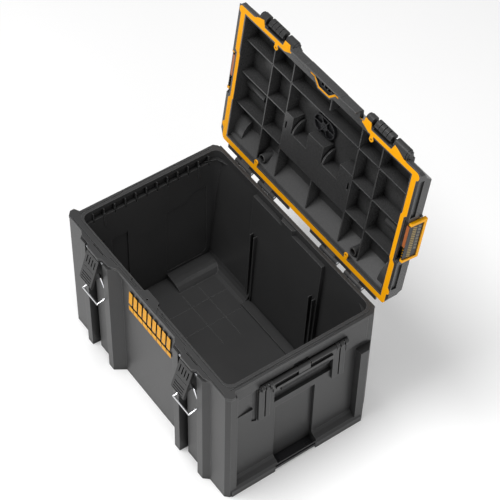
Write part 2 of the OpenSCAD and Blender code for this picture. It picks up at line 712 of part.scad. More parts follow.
// shares of the depth and height of the round edge between floor and back wall
cove_shares = [[0, 0], [0.35, 0.08], [0.65, 0.3], [0.88, 0.65], [1, 1]];
module tub_inside() {
  both() for (i = [0:comb_count]) {
    y = (i - comb_count / 2) * comb_pitch;
    block(cavity_x, cell_x, y - comb_rib / 2, y + comb_rib / 2, band_z, plate_z);
    // two of the small ribs reach down as upright bars
    if (i == 1 || i == comb_count - 1) block(cavity_x - comb_rib, cavity_x + comb_rib, y - comb_rib,
      y + comb_rib, band_z - 2 * plinth_height, band_z + plinth_height / 2);
  }
  // back wall: it leans in toward the floor and its middle stands forward
  back_part(-cavity_x - cut, shelf_x0 + skin, foot_y, cavity_y, back_wall);
  back_part(shelf_x0, shelf_x1, foot_y, shelf_y, back_wall);
  back_part(shelf_x1 - skin, cavity_x + cut, foot_y + back_shelf, cavity_y, back_wall);
  back_part(shelf_x0, shelf_x0 + skin, foot_y, shelf_y, back_wall + back_shelf);
  back_part(shelf_x1 - skin, shelf_x1, foot_y, shelf_y, back_wall + back_shelf);
  block(shelf_x0, shelf_x1, shelf_y, cavity_y + cut, shelf_z - skin, shelf_z);
  // tab between the two shelves
  slab([[shelf_shares[1] * cavity_x - skin, cavity_y + cut], [shelf_shares[1] * cavity_x + skin, shelf_y],
    [shelf_shares[2] * cavity_x - skin, shelf_y], [shelf_shares[2] * cavity_x + skin, cavity_y + cut]],
    shelf_z - cut, tub_height - groove_depth);
  // low step along the back wall and the round edge left of it
  block(-leaf_inner * 2.8, cavity_x + cut, foot_y - back_ledge, foot_y + back_shelf + cut, floor_z - cut,
    floor_z + back_ledge_height);
  along_x(concat([[foot_y + skin, floor_z - cut], [foot_y - back_ledge, floor_z - cut]],
    [for (q = cove_shares) [foot_y - back_ledge + q[0] * (back_ledge + skin / 2),
      floor_z + q[1] * back_ledge]], [[foot_y + skin, floor_z + back_ledge]]), -cavity_x, -leaf_inner * 2.8);
  // foot with a rounded side at the left end
  along_y(concat([[-cavity_x - cut, floor_z - cut], [-cavity_x - cut, floor_z + plinth_height]],
    [for (q = foot_shares) [-cavity_x + q[0] * foot_width, floor_z + q[1] * plinth_height]],
    [[-cavity_x + foot_width, floor_z - cut]]), inner_corner * 1.6, foot_y + cut);
  // paired ribs on the back wall
  pair_top = tub_height * 0.65;
  lean = (shelf_y - foot_y) / (shelf_z - floor_z);
  pair_y = foot_y + (pair_top - floor_z) * lean;
  both() for (dx = [-inner_corner / 3, inner_corner / 3])
    along_x([[foot_y - pair_reach / 3, floor_z], [pair_y - pair_reach, pair_top], [pair_y + cut, pair_top],
      [foot_y + cut, floor_z]], cavity_x * 0.4 + dx - comb_rib / 2, cavity_x * 0.4 + dx + comb_rib / 2);
  // gussets in the upper back corners
  both() slab([[band_x - 2 * inner_corner, cavity_y + cut], [band_x + cut, cavity_y + cut],
    [band_x + cut, cavity_y - 2 * inner_corner], [band_x - inner_corner / 2, cavity_y - inner_corner / 2]],
    band_z + comb_rib, band_z + 2 * comb_rib);
}
module tub_shell() {
  color([0.27, 0.27, 0.28]) {
    difference() { tub_outside(); tub_cuts(); }
    tub_inside();
  }
}
module stacking_bars() {
  color([0.1, 0.1, 0.11]) both() {
    block(post_x + base_proud - bar_depth, post_x + base_proud - skin / 4, -notch_front, notch_back,
      bar_lift, bar_lift + bar_height);
    // two groups of small studs
    for (y = [-notch_front + bar_lift, notch_back - 3 * bar_lift], i = [0:2], j = [0, 1])
      translate([post_x - bar_lift * (j + 1), y + i * bar_lift, bar_lift])
        cylinder(r = comb_rib * 0.7, h = bar_height + comb_rib, $fn = fine / 2);
  }
}
module hinge_rods() {
  color([0.75, 0.76, 0.78]) both() for (x0 = [hinge_inner, hinge_outer])
    rod_x(hinge_rod_radius, x0, x0 + hinge_length, hinge_y, hinge_z);
}
module lever_pins() {
  color([0.75, 0.76, 0.78]) both()
    rod_x(lever_pin_radius, lx - slot_out - 2 * skin, lx + slot_out + 2 * skin, lever_y, lever_z);
}

// carrying handles

module handle_rods() {
  color([0.75, 0.76, 0.78]) both()
    rod_y(handle_rod_radius, -knuckle_end, knuckle_end, handle_x, handle_axis_z);
}
// one bracket: two upright plates, each with a knuckle for the handle rod
module bracket() {
  difference() {
    for (s = [[-knuckle_end, -handle_front - knuckle_gap], [handle_back + knuckle_gap, knuckle_end]]) {
      rod_y(knuckle_radius, s[0], s[1], handle_x, handle_axis_z);
      block(panel_x, skirt_x, s[0], s[1], bracket_bottom, handle_axis_z);
    }
    rod_y(handle_rod_radius + hold_play, -knuckle_end - cut, knuckle_end + cut, handle_x, handle_axis_z);
    // teeth and a line across the top of each bracket
    for (y = [-knuckle_end + knuckle_radius, -handle_front - knuckle_radius * 1.6,
        handle_back + knuckle_radius, knuckle_end - knuckle_radius * 1.6])
      block(handle_x, post_x + cut, y, y + bracket_slot, handle_axis_z - knuckle_radius,
        handle_axis_z + knuckle_radius + cut);
    block(skirt_x - groove_width / 2, skirt_x + cut, -knuckle_end - cut, knuckle_end + cut,
      handle_axis_z - 2 * knuckle_radius, handle_axis_z - 2 * knuckle_radius + bracket_slot / 2);
    for (y = [-(knuckle_end + handle_front) / 2, (knuckle_end + handle_back) / 2])
      block(panel_x - cut, skirt_x + cut, y, y + bracket_slot, bracket_bottom + bracket_slot,
        handle_axis_z - knuckle_radius - bracket_slot);
  }
}
module handle_bracket_right() { color([0.3, 0.3, 0.31]) bracket(); }
module handle_bracket_left() { color([0.3, 0.3, 0.31]) mirror_x() bracket(); }
bar_x = handle_x + handle_reach;
module handle_frame() {
  difference() {
    union() {
      rod_y(barrel_radius, -handle_front, -tab_front - 2 * knuckle_gap, handle_x, handle_axis_z);
      rod_y(barrel_radius, tab_back + 2 * knuckle_gap, handle_back, handle_x, handle_axis_z);
      // plate from the barrels down to the bar
      block(skirt_x + side_gap, handle_x + skin / 2, -handle_front, -tab_front - 2 * knuckle_gap,
        handle_bar_z, handle_axis_z);
      block(skirt_x + side_gap, handle_x + skin / 2, tab_back + 2 * knuckle_gap, handle_back,
        handle_bar_z, handle_axis_z);
      block(skirt_x + side_gap, bar_x, -handle_front + knuckle_radius, handle_back - knuckle_radius,
        handle_bar_z, handle_bar_z + handle_bar);
      block(handle_x, bar_x - skin / 4, -tab_front, tab_back, handle_bar_z, handle_axis_z);
      rod_y(barrel_radius - skin / 4, -tab_front, tab_back, handle_x, handle_axis_z);
      // end arms down beside the grip
      for (s = [[-handle_front + skin, -grip_half], [grip_half, handle_back - skin]])
        block(skirt_x + side_gap, handle_x + skin / 2, s[0], s[1], grip_bottom, handle_bar_z);
    }
    rod_y(handle_rod_radius + run_play, -handle_front - cut, handle_back + cut, handle_x,
      handle_axis_z);
  }
}
module side_handle_right() { color([0.42, 0.42, 0.43]) handle_frame(); }
module side_handle_left() { color([0.42, 0.42, 0.43]) mirror_x() handle_frame(); }
module grip() {
  r = grip_skin / 2;
  gx = skirt_x + side_gap + r;
  rod_y(r, -grip_half, grip_half, gx, grip_bottom + r);
  block(gx - r, gx + r, -grip_half, grip_half, grip_bottom + r, handle_bar_z);
  // finger ridges on the hidden side of the grip
  h = (handle_bar_z - grip_bottom - r) / 3;
  for (i = [-1:1]) rod_y(h / 3, -grip_half * 0.9, grip_half * 0.9, gx - r, handle_bar_z + (i - 1.5) * h);
}
module handle_grip_right() { color([0.13, 0.13, 0.14]) grip(); }
module handle_grip_left() { color([0.13, 0.13, 0.14]) mirror_x() grip(); }

// front latches, drawn with the lever flat and then tilted out

module lever_pose() {
  translate([lx, lever_y, lever_z]) rotate([-lever_tilt, 0, 0]) children();
}
half_w = lever_width / 2;
module lever() {
  difference() {
    union() {
      rod_x(lever_barrel, -half_w, half_w, 0, 0);
      along_x([[-lever_barrel - run_play * 20, 0],
        [-lever_barrel - run_play * 20, -lever_length + lever_skin / 2],
        [-lever_barrel + lever_skin / 3, -lever_length], [-lever_barrel + lever_skin, -lever_length],
        [-lever_barrel + lever_skin, 0]], -half_w, half_w);
      // lugs that hold the bail ends
      for (s = [[-half_w, -half_w * 2 / 3], [half_w * 2 / 3, half_w]])
        along_x([[-lever_barrel + skin, -bail_drop + 3 * lever_barrel],
          [bail_inset, -bail_drop + lever_barrel],
          [bail_inset + lever_barrel * 0.8, -bail_drop + lever_barrel / 2],
          [bail_inset + lever_barrel * 0.8, -bail_drop - lever_barrel / 2],
          [bail_inset, -bail_drop - lever_barrel], [-lever_barrel + skin, -bail_drop - 2 * lever_barrel]],
          s[0], s[1]);
    }
    rod_x(lever_pin_radius + run_play, -half_w - cut, half_w + cut, 0, 0);
    rod_x(wire_radius + run_play, -half_w - cut, half_w + cut, bail_inset, -bail_drop);
    // four slots near the top
    for (i = [0:3]) translate([(i - 1.5) * half_w * 0.42, 0, 0])
      block(-bracket_slot / 2, bracket_slot / 2, -2 * lever_barrel, -lever_barrel + lever_skin / 2,
        -5 * lever_barrel, -1.4 * lever_barrel);
    // grooves across the finger end
    for (i = [0:3]) block(-half_w * 0.75, half_w * 0.75, -2 * lever_barrel, -lever_barrel + cut / 2,
      -lever_length * (0.695 + 0.085 * i), -lever_length * (0.66 + 0.085 * i));
    block(-half_w * 0.8, half_w * 0.8, -2 * lever_barrel, -lever_barrel,
      -lever_length * 0.5, -lever_length * 0.485);
  }
}
module latch_lever_right() { color([0.36, 0.36, 0.37]) lever_pose() lever(); }
module latch_lever_left() { color([0.36, 0.36, 0.37]) mirror_x() lever_pose() lever(); }
c_tilt = cos(lever_tilt);
s_tilt = sin(lever_tilt);
bail_y = lever_y + bail_inset * c_tilt - bail_drop * s_tilt;
bail_z = lever_z - bail_inset * s_tilt - bail_drop * c_tilt;
module wire(a, b) {
  d = b - a;
  l = norm(d);
  translate(a) rotate([0, acos(d[2] / l), atan2(d[1], d[0])])
    cylinder(r = wire_radius, h = l, $fn = fine);
}
module bail() {
  h = bail_width / 2;
  bend = [h, bail_y + bend_in, bail_z - bend_drop];
  bar = [h, bail_y - bar_out, bail_z - bar_drop];
  top = [h, bail_y, bail_z];
  translate([lx, 0, 0]) {
    for (s = [-1, 1]) scale([s, 1, 1]) {
      wire([half_w * 0.7, bail_y, bail_z], top);
      wire(bend, top);
      wire(bar, bend);
      for (p = [top, bend, bar]) translate(p) sphere(r = wire_radius + bend_swell, $fn = fine);
    }
    wire([-h, bar[1], bar[2]], bar);
  }
}
module wire_bail_right() { color([0.85, 0.86, 0.88]) bail(); }
module wire_bail_left() { color([0.85, 0.86, 0.88]) mirror_x() bail(); }

// the lid, drawn closed and then swung open about the hinge

module lid_pose() {
  translate([0, hinge_y, hinge_z]) rotate([-lid_open, 0, 0])
    translate([0, -hinge_y, -hinge_z]) children();
}
// outer or inner form of the lid: plan, side and front outlines crossed
module lid_form(in, z0, z1) {
  x = lid_half - in;
  intersection() {
    two_sided([[x, lid_front_y + in], [x, lid_back_y - in - lid_corner],
      [x - lid_corner / 2, lid_back_y - in]], z0, z1);
    along_x([[lid_front_y + in, z0 - cut], [lid_front_y + in, edge_z],
      [lid_front_y + in + lid_lean, deck_z - deck_chamfer],
      [lid_front_y + in + lid_lean + deck_chamfer, deck_z], [lid_back_y - in - back_run, deck_z],
      [lid_back_y - in * 1.4 - deck_chamfer, edge_z + back_edge],
      [lid_back_y - in, edge_z + back_edge / 2], [lid_back_y - in, z0 - cut]],
      -lid_half - cut, lid_half + cut);
    along_y([[-x, z0 - cut], [x, z0 - cut], [x, deck_z - deck_chamfer], [x - deck_chamfer, deck_z],
      [-x + deck_chamfer, deck_z], [-x, deck_z - deck_chamfer]], lid_front_y - cut, lid_back_y + cut);
  }
}
side_axis_x = lid_half - side_axis_step;
side_axis_z = edge_z + side_axis_lift;
recess_x = lid_half - side_recess;
face_x = lid_half + side_proud;
inner_wall_x = seal_half - skin;
module lid_inner(z0, z1) {
  intersection() {
    difference() {
      block(-inner_wall_x, inner_wall_x, -seal_y + skin, seal_y - skin, z0, z1);
      clasp_form(seal_thin / 2 + skin, z0 - cut, z1 + cut);
    }
    lid_form(lid_wall, z0, z1);
  }
}
// middle line of the narrow seal, moved inward by d, from left to right
thin_y = lid_front_y + seal_thin * 0.6;
function thin_line(d) = [[-thin_half, thin_y + d], [-clasp_left - d / 2, thin_y + d],
  [-clasp_left + clasp_depth - d / 2, thin_y + clasp_depth + d],
  [clasp_right - clasp_depth + d / 2, thin_y + clasp_depth + d], [clasp_right + d / 2, thin_y + d],
  [thin_half, thin_y + d]];
// the notch region in front of the moved middle line
module clasp_form(d, z0, z1) {
  line = thin_line(d);
  slab([line[1], line[2], line[3], line[4], [line[4][0], thin_y - clasp_depth / 2],
    [line[1][0], thin_y - clasp_depth / 2]], z0, z1);
}
rail_back = lid_back_y - back_run - 2 * skin;
// shallow recesses in the lid ends, given by their front and back edges
end_recesses = [[lid_front_y + lid_lean * 0.8, -side_front - deck_chamfer],
  [side_back + deck_chamfer, lid_back_y - back_run - skin]];
module end_recess(grow, deep) {
  for (y = end_recesses) block(lid_half - deep, lid_half + cut, y[0] - grow, y[1] + grow,
    edge_z + seal_skin - grow, edge_z + lid_height / 3 + grow);
}
module lid_shell_part() {
  difference() {
    union() {
      difference() {
        lid_form(0, edge_z, deck_z);
        // box section around the rim of the lid
        difference() {
          lid_form(lid_wall, land_z + land_skin, under_z);
          block(-seal_half, seal_half, -seal_y, seal_y, edge_z, deck_z);
          both() end_recess(lid_wall, 2 * lid_wall);
        }
      }
      // rail frame on the deck
      difference() {
        block(-rail_half, rail_half, lid_front_y + lid_lean + 2 * deck_chamfer, rail_back,
          deck_z - skin, deck_z + rail_height);
        block(-rail_half + rail_width, rail_half - rail_width,
          lid_front_y + lid_lean + 2 * deck_chamfer + rail_width,
          rail_back - rail_width, deck_z, deck_z + rail_height + cut);
      }
      // front lip that hangs over the rim between the latches
      for (q = [[front_lip_half, 0], [thin_half / 2, side_gap]])
        along_x([[seat_y - side_gap * 5 - q[1], edge_z + skin * 2], [seat_y - side_gap * 5 - q[1],
          edge_z - front_lip_drop], [seat_y - side_gap * 2, edge_z - front_lip_drop],
          [seat_y - side_gap * 2, edge_z], [lid_front_y + skin, edge_z],
          [lid_front_y + skin * 2, edge_z + skin * 3.5], [seat_y - side_gap * 2, edge_z + skin * 2.6]],
          -q[0], q[0]);
      corner_band(lx + right_shares[1] * catch_width);
      mirror_x() corner_band(lx + left_shares[1] * catch_width);
      // strips that close the gap between the lid edge and the hinge line, and small end teeth
      both() {
        block(leaf_inner, leaf_outer, lid_back_y - cut, hinge_y - hinge_radius / 4, edge_z, edge_z + skin);
        block(lid_half - cut, lid_half + skin, -side_front - deck_chamfer * 0.8,
          -side_front - deck_chamfer / 2, deck_z - 1.4 * deck_chamfer, deck_z - deck_chamfer);
      }
      both() for (x0 = [hinge_inner, hinge_outer])
        lid_lug(x0 + hinge_end + hinge_gap, x0 + hinge_length - hinge_end - hinge_gap);
    }
    lid_inner(edge_z - cut, under_z);
    // seat for the seal
    seal_form(edge_z - cut, land_z);
    // recess in front of the notch in the seal, with three small holes
    clasp_form(-seal_thin / 2 - side_gap, edge_z - cut, land_z + skin / 2);
    for (i = [-1:1]) translate([(clasp_right - clasp_left) / 2 + i * comb_rib * 5, 0, 0])
      block(-comb_rib * 1.8, comb_rib * 1.8, thin_y, thin_y + 2.8 * skin, land_z, land_z + land_skin + cut);
    both() {
      end_recess(0, lid_wall);
      // room for the tub knuckles in the strips
      for (x0 = [hinge_inner, hinge_outer], dx = [0, hinge_length - hinge_end])
        rod_x(hinge_radius + side_gap, x0 + dx - hinge_gap, x0 + dx + hinge_end + hinge_gap,
          hinge_y, hinge_z);
      rod_y(side_pin_radius + hold_play, -side_front - side_gap * 4 - 2 * cut,
        side_back + side_gap * 4 + 2 * cut, side_axis_x, side_axis_z);
      for (x0 = [hinge_inner, hinge_outer])
        rod_x(hinge_rod_radius + run_play, x0 - cut, x0 + hinge_length + cut, hinge_y, hinge_z);
      block(recess_x, lid_half + cut, -side_front - side_gap * 4, side_back + side_gap * 4, edge_z - cut,
        deck_z + cut);
    }
    // drain slots behind the seal
    for (x = [-3:3]) for (y = [-seal_y - seal_width / 2, seal_y + seal_width / 2])
      block(x * comb_pitch * 2.6, (x * 2.6 + 1) * comb_pitch, y - comb_rib, y + comb_rib, land_z - cut,
        land_z + land_skin + cut);
  }
  deck_inside();
  // bridges that carry the side latch pins
  both() for (y = [[-side_front - side_gap * 4 - cut, -side_front - side_gap],
      [side_back + side_gap, side_back + side_gap * 4 + cut]]) difference() {
    block(recess_x - cut, side_axis_x + 2 * side_pin_radius, y[0], y[1], land_z,
      side_axis_z + 4 * side_pin_radius);
    rod_y(side_pin_radius + hold_play, y[0] - cut, y[1] + cut, side_axis_x, side_axis_z);
  }
}
// the thicker lid front between a catch and the lid corner
module corner_band(x0) {
  y = lid_front_y;
  z = edge_z + catch_height;
  intersection() {
    slab([[x0, y + lid_lean], [x0, y - skin], [lid_half - 2 * skin, y - skin], [lid_half, y + skin],
      [lid_half, y + lid_lean]], edge_z, z);
    along_x([[y + lid_lean, edge_z], [y - skin, edge_z], [y - skin, z - catch_height / 2],
      [y + lid_lean / 2, z], [y + lid_lean, z]], x0, lid_half);
  }
}
module lid_lug(x0, x1) {
  rod_x(hinge_radius, x0, x1, hinge_y, hinge_z);
  along_x([[lid_back_y - cut, edge_z], [back_y + side_gap, edge_z], [hinge_y - hinge_radius * 0.8, hinge_z],
    [hinge_y, hinge_z], [hinge_y + hinge_radius * 0.9, hinge_z + hinge_radius * 0.4],
    [lid_back_y, edge_z + 2 * hinge_radius], [lid_back_y - cut, edge_z + 2 * hinge_radius]], x0, x1);
}
// the seal ring between two heights, with its jogs, notch, corner pads and small hooks
// shares of half the catch width and of the pad reach for the edge under the left catch
pad_shares = [[-1, 0], [-0.75, 0.73], [-0.56, 1.05], [-0.49, 0.1], [-0.47, -0.22], [0.42, -0.22],
  [0.49, 1], [0.74, 1], [0.77, 0]];
pad_line = [for (q = pad_shares) [-lx + q[0] * catch_width / 2, lid_front_y - q[1] * seal_tab]];
module seal_form(z0, z1) {
  xi = seal_half;
  xo = seal_half + seal_width;
  yi = seal_y;
  yo = seal_y + seal_width;
  yf = lid_front_y;
  f = -side_front - 2 * seal_jog;
  b = side_back + 2 * seal_jog;
  outer = [[xo - seal_jog, yf], [xo, yf + seal_jog], [xo, f - 2 * seal_jog], [xo - 2 * seal_jog, f],
    [xo - 2 * seal_jog, b], [xo, b + 2 * seal_jog], [xo, yo - 2 * seal_jog], [xo - 2 * seal_jog, yo]];
  inner = [[thin_half + 2 * seal_jog, thin_y + seal_thin / 2], [thin_half + 2 * seal_tab, -yi],
    [xi, -yi], [xi, f - 2 * seal_jog], [xi - seal_jog, f], [xi - seal_jog, b],
    [xi, b + 2 * seal_jog], [xi, yi]];
  difference() {
    union() {
      slab(concat(pad_line, [[-thin_half - seal_jog, yf]], thin_line(-seal_thin / 2),
        [[thin_half + seal_jog, yf]], mirrored(pad_line), outer, mirrored(outer)), z0, z1);
      for (sx = [-1, 1], y = [yf + seal_pad, yo - 4 * seal_pad]) translate([sx * (xo - seal_jog), y, z0])
        cylinder(r = seal_pad, h = z1 - z0, $fn = fine);
    }
    // the lid covers the seal between the catches and the notch
    for (x = [[-thin_half - seal_jog, -clasp_left - clasp_depth * 0.85], [clasp_right + clasp_depth * 0.6,
      thin_half + seal_jog]]) block(x[0], x[1], yf - cut, -yi, edge_z - 2 * cut, edge_z + seal_skin / 2);
    slab(concat(thin_line(seal_thin / 2), inner, mirrored(inner)), z0 - cut, z1 + cut);
  }
  for (x = [-lx + seal_pad, lx - 2.5 * seal_pad]) seal_hook(x, -yi, 1, z0, z1);
  for (x = [-lx + seal_pad, lx - 2 * seal_pad]) seal_hook(x, yi, -1, z0, z1);
}
// a small hook on the inner edge of the seal: a stem with an eye at its end
module seal_hook(x, y, dir, z0, z1) {
  r = hook_reach * 0.36;
  difference() {
    union() {
      translate([x, y, 0]) scale([1, dir, 1]) block(-r * 0.8, r * 0.8, -seal_jog, hook_reach - r, z0, z1);
      translate([x, y + dir * (hook_reach - r), z0]) cylinder(r = r, h = z1 - z0, $fn = fine);
    }
    translate([x, y + dir * (hook_reach - r), z0 - cut])
      cylinder(r = r * 0.4, h = z1 - z0 + 2 * cut, $fn = fine);
  }
}
module seal_ring() { seal_form(edge_z, land_z); }
module lid_shell() { color([0.3, 0.3, 0.31]) lid_pose() lid_shell_part(); }
module lid_seal() { color([0.98, 0.78, 0.1]) lid_pose() seal_ring(); }
module rib_y_run(x, y0, y1) { block(x - lid_rib / 2, x + lid_rib / 2, y0, y1, rib_low_z, under_z); }
module rib_x_run(y, x0, x1) { block(x0, x1, y - lid_rib / 2, y + lid_rib / 2, rib_low_z, under_z); }
// shares of the lid half length and of the seal depth where the ribs run
rib_x_shares = [0.38, 0.6];
rib_y_shares = [-0.59, -0.085, 0.425];
web_x = [for (s = rib_x_shares) s * lid_half];
web_y = [for (s = rib_y_shares) s * seal_y];
plateau_x = web_x[0] + lid_rib / 2;
// shares of the panel half length where its front blocks begin and end
block_shares = [-0.76, -0.3, 0.14, 0.63];
// notched plan of the raised panel, drawn in by g
function plateau_plan(g) = [[-plateau_x + g, plateau_back - g], [-plateau_x + g, -plateau_front + g],
  [block_shares[0] * plateau_x - g, -plateau_front + g],
  [block_shares[0] * plateau_x - g, plateau_notch + g],
  [block_shares[1] * plateau_x + g, plateau_notch + g],
  [block_shares[1] * plateau_x + g, -plateau_front + g],
  [block_shares[2] * plateau_x - g, -plateau_front + g],
  [block_shares[2] * plateau_x - g, plateau_notch + g],
  [block_shares[3] * plateau_x + g, plateau_notch + g],
  [block_shares[3] * plateau_x + g, -plateau_front + g],
  [plateau_x - g, -plateau_front + g], [plateau_x - g, plateau_back - g]];
module lid_ribs_part() {
  intersection() {
    union() {
      difference() {
        union() { lid_rib_grid(); slab(plateau_plan(0), rib_low_z, under_z); }
        vent_oval(side_gap / 2, under_z - rib_low_z + cut);
        // the raised panel is hollow and open toward the deck
        slab(plateau_plan(lid_rib), rib_low_z + lid_rib, under_z + cut);
        for (x = [-plateau_x + 2 * lid_rib, plateau_x - 4 * lid_rib])
          block(x, x + 2 * lid_rib, 0, plateau_notch, rib_low_z - cut, rib_low_z + lid_rib + cut);
      }
      // round fins in the notches of the raised panel
      for (x = [block_shares[0] * plateau_x + 2 * lid_rib, block_shares[2] * plateau_x + 2 * lid_rib])
        fin(x);
    }
    lid_inner(rib_low_z, under_z);
  }
}
// bumps, posts and short webs moulded on the inner side of the deck
module deck_inside() {
  y = (web_y[1] + web_y[2]) / 2;
  z = under_z + cut;
  both() intersection() {
    lid_form(lid_wall / 2, edge_z, deck_z);
    union() {
      rod_x(rib_height / 3, web_x[1] + rib_height, inner_wall_x + cut, y, under_z);
      corner_bump();
      hinge_post();
    }
    block(0, lid_half, -seal_y, seal_y, edge_z, z);
  }
  intersection() {
    lid_form(lid_wall / 2, edge_z, deck_z);
    union() {
      block(4 * lid_rib, 5 * lid_rib, -seal_y + skin - cut, web_y[0] - rib_height * 0.7, rib_low_z, z);
      block(-web_x[1] - rib_height, -web_x[1] - rib_height + lid_rib, -seal_y + skin - cut,
        -seal_y + rib_height, under_z - rib_height * 0.7, z);
    }
  }
}
arc_steps = 10;
module fin(x) {
  along_x(concat([[plateau_notch + lid_rib / 2, under_z], [plateau_notch + lid_rib / 2, rib_low_z]],
    [for (i = [0:arc_steps]) let (a = 90 * i / arc_steps)
      [plateau_notch - fin_reach * sin(a), under_z - rib_height * cos(a)]]),
    x - lid_rib * 0.8, x + lid_rib * 0.8);
}
module corner_bump() {
  y = seal_y - skin;
  along_x(concat([[y + cut, under_z - 0.9 * rib_height], [y + cut, under_z + cut],
    [y - 1.6 * rib_height, under_z + cut]], [for (i = [0:arc_steps]) let (a = 90 * i / arc_steps)
    [y - 1.6 * rib_height * cos(a), under_z - 0.9 * rib_height * sin(a)]]),
    inner_wall_x - rib_height, inner_wall_x + cut);
}
module hinge_post() {
  translate([web_x[1] - 1.7 * post_radius, seal_y - skin - 1.6 * post_radius, 0]) difference() {
    translate([0, 0, rib_low_z]) cylinder(r = post_radius, h = rib_height + cut, $fn = fine);
    translate([0, 0, rib_low_z - cut]) cylinder(r = post_radius - lid_rib, h = rib_height * 0.8, $fn = fine);
  }
}
module lid_rib_grid() {
  yi = seal_y - skin;
  xi = inner_wall_x;
  difference() {
    union() {
      both() for (x = web_x) rib_y_run(x, -yi, yi);
      rib_x_run(web_y[0], -xi, xi);
      both() for (i = [1, 2]) rib_x_run(web_y[i], web_x[0], xi);
      // web from the raised panel to the hinge side
      rib_y_run(0, plateau_back - lid_rib, yi);
      // small bosses where the ribs cross
      both() for (x = web_x, y = [web_y[0], web_y[2]]) translate([x, y, rib_low_z])
        cylinder(r = 1.3 * lid_rib, h = rib_height, $fn = fine);
    }
    both() for (x = web_x, y = [web_y[0], web_y[2]]) translate([x, y, rib_low_z - cut])
      cylinder(r = 0.6 * lid_rib, h = rib_height / 2, $fn = fine);
  }
}
module lid_ribs() { color([0.2, 0.2, 0.21]) lid_pose() lid_ribs_part(); }
vent_x = block_shares[1] * plateau_x / 2;
vent_y = -0.27 * seal_y;
// an oval of straight sides and round ends, standing down from the deck by h
module vent_oval(grow, h) {
  r = vent_width / 2;
  translate([vent_x, vent_y, under_z - h]) {
    for (s = [-1, 1]) translate([s * (vent_length / 2 - r), 0, 0]) cylinder(r = r + grow, h = h, $fn = fine);
    block(-vent_length / 2 + r, vent_length / 2 - r, -r - grow, r + grow, 0, h);
  }
}
module vent_part() {
  h = 3 * lid_rib;
  r = vent_width / 2;
  difference() {
    vent_oval(0, h);
    translate([0, 0, -lid_rib]) vent_oval(-lid_rib, h);
  }
  intersection() {
    vent_oval(-lid_rib / 2, h);
    translate([vent_x, vent_y, under_z - h]) {
      for (a = [-60, 0, 60]) rotate([0, 0, a])
        block(-vent_length, vent_length, -lid_rib / 2, lid_rib / 2, 0, h);
      difference() {
        cylinder(r = r * 0.45, h = h, $fn = fine);
        translate([0, 0, -cut]) cylinder(r = r * 0.25, h = h - lid_rib + cut, $fn = fine);
      }
    }
  }
}
module vent_lattice() { color([0.12, 0.12, 0.13]) lid_pose() vent_part(); }

// catch blocks that the bails hook over

// shares of the catch width where the right and the left block end, from the middle of the latch
right_shares = [-0.39, 0.555];
left_shares = [-0.476, 0.414];
// outline of a catch with its front at y, rounded below and above, drawn in by d
catch_steps = 6;
function catch_line(y, d) = concat(
  [for (i = [0:catch_steps]) let (a = 90 * i / catch_steps, r = catch_round - d)
    [y + catch_round - r * sin(a), edge_z + side_gap + catch_round - r * cos(a)]],
  [for (i = [0:catch_steps]) let (a = 90 * i / catch_steps, r = catch_top - d)
    [y + catch_top - r * cos(a), edge_z + catch_height - catch_top + r * sin(a)]]);
function catch_rise(yg, z, yb) = [[yg + groove_room / 2, z], [yg + groove_room / 2, z + catch_back / 2],
  [yg + groove_room / 2 + catch_back / 2, z + catch_back], [yb, z + catch_back]];
module catch_block(shares) {
  z0 = edge_z + side_gap;
  z1 = edge_z + catch_height;
  y0 = seat_y - catch_proud;
  yb = lid_front_y + lid_lean;
  x0 = lx + shares[0] * catch_width;
  x1 = lx + shares[1] * catch_width;
  zg = z0 + groove_lift;
  yg = lever_y + bail_inset + lever_skin - side_gap;
  difference() {
    union() {
      // a block with a round front, narrower at its ends, and the lug for the bail
      for (q = [[skin, x0, x1], [skin / 2, x0 + skin / 2, x1 - skin / 2], [0, x0 + 2 * skin, x1 - 2 * skin]])
        along_x(concat([[yb, z0 + q[0]]], catch_line(y0, q[0]), catch_rise(yg, z1 - q[0], yb)), q[1], q[2]);
      along_x(concat([[yb, z0]], catch_line(y0 - lug_proud, 0), catch_rise(yg, z1, yb)),
        lx - lug_half, lx + lug_half);
    }
    // room for the bail legs beside the lug and for the bar behind its hook
    for (s = [-lug_half - lug_slot, lug_half])
      block(lx + s, lx + s + lug_slot, y0 - lug_proud - cut, yg + groove_room / 2, z0 - cut, z1 + cut);
    block(lx - lug_half - cut, lx + lug_half + cut, yg - groove_room / 2, yg + groove_room / 2,
      zg, z1 + cut);
    // hollow under the lug, in front of the seal
    block(lx - lug_half, lx + lug_half, yg - groove_room / 4, lid_front_y - cut, z0 - cut,
      z0 + groove_lift / 2);
    // three narrow grooves that leave four ribs on the lug
    for (i = [-1:1]) along_x(concat(catch_line(y0 - lug_proud - cut, -cut),
      [for (k = [2 * catch_steps + 1:-1:0]) catch_line(y0 - lug_proud + comb_rib, comb_rib / 2)[k]]),
      lx + i * lug_half / 2 - comb_rib / 2, lx + i * lug_half / 2 + comb_rib / 2);
    seal_form(edge_z - cut, land_z);
    lid_form(0, edge_z - cut, deck_z + cut);
  }
}
module lid_catch_right() { color([0.3, 0.3, 0.31]) lid_pose() catch_block(right_shares); }
module lid_catch_left() { color([0.3, 0.3, 0.31]) lid_pose() mirror_x() catch_block(left_shares); }

// side latches on the lid ends

